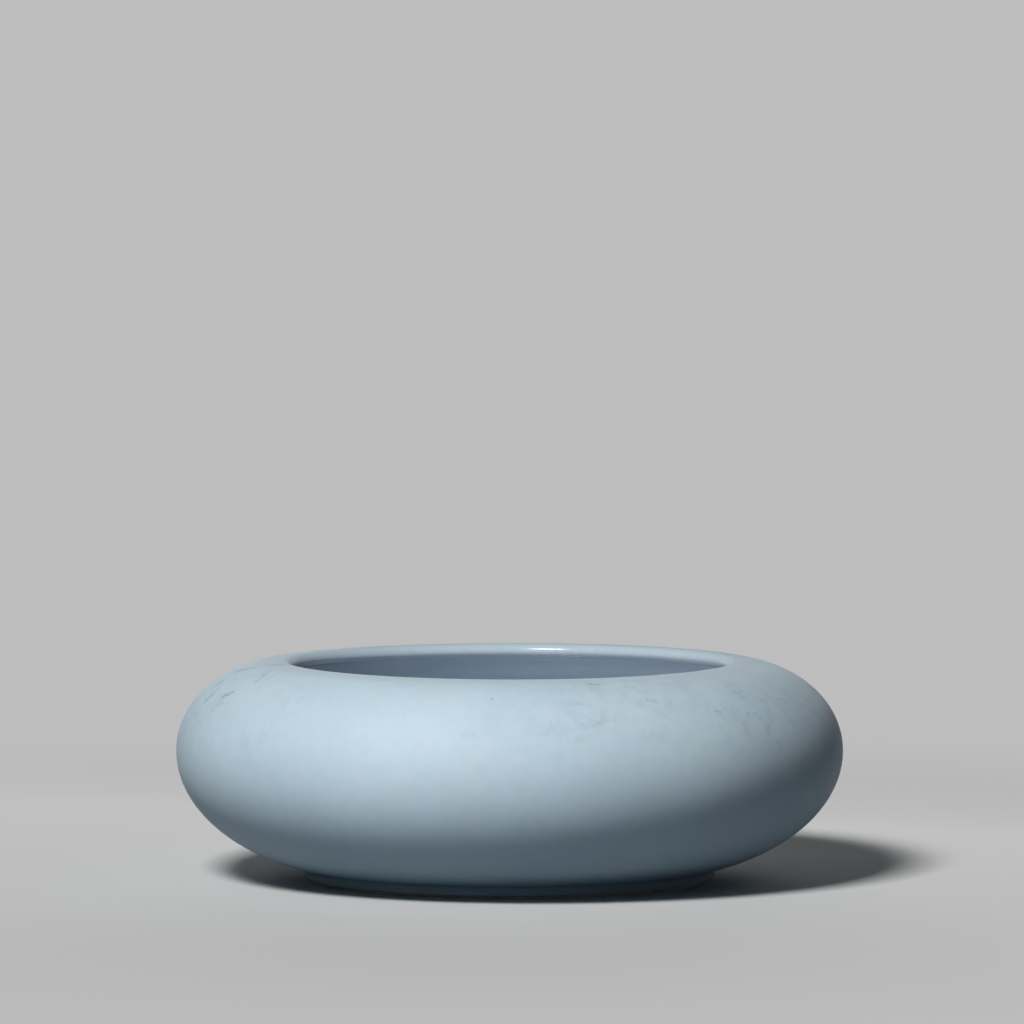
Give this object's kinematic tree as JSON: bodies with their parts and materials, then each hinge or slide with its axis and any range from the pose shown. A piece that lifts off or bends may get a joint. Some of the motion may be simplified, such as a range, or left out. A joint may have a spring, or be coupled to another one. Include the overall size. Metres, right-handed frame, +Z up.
{
  "type": "brush washer",
  "caption": "Low round glazed porcelain brush washer: a compressed bowl with an in-turned wall, a rolled lip and a low foot ring.",
  "frame": {"origin": "centre of the foot ring, on the table", "axes": "+Z up along the vessel's turning axis"},
  "size_m": [0.117, 0.117, 0.0382],
  "materials": {
    "clay": "fired white porcelain, wholly under the glazes",
    "bare_foot": "unglazed fired porcelain, smoothed, faintly warm",
    "outer_glaze": "pale sky-blue monochrome glaze, soft satin gloss, faint mottling",
    "inner_glaze": "the same pale sky-blue glaze, glossier, pooled on the floor",
    "base_glaze": "thin clear glaze over white porcelain, bare of any mark"
  },
  "bodies": {
    "root": {"bowl_clay": "clay", "foot_ring": "bare_foot", "outer_glaze": "outer_glaze", "inner_glaze": "inner_glaze", "base_glaze": "base_glaze"}
  },
  "joints": []
}
